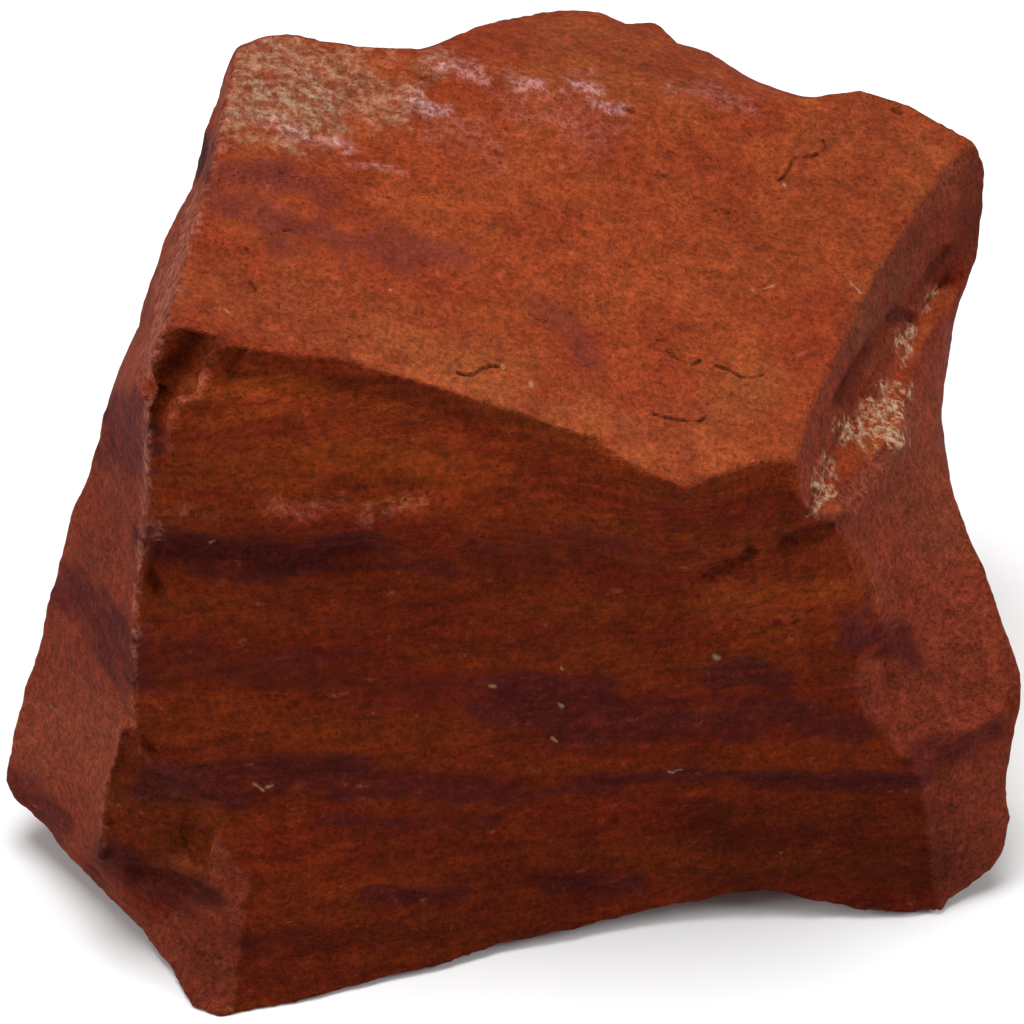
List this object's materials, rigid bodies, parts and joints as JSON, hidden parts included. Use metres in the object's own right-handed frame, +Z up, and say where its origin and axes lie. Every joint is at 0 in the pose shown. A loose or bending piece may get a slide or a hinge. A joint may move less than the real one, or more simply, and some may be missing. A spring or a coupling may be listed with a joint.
{
  "type": "rough red jasper stone",
  "caption": "Rough lump of banded red jasper with flat fracture faces, a tilted top and a chipped corner, that stands by itself on a worn flat underneath.",
  "frame": {"origin": "middle of the bounding box in X and Y, on the surface that the stone stands on", "axes": "+Z up; +X to the right and +Y away from a viewer who faces the tall banded front face"},
  "size_m": [0.0582, 0.0488, 0.0417],
  "materials": {
    "jasper": "matte"
  },
  "bodies": {
    "root": {"red_jasper": "jasper"}
  },
  "joints": []
}
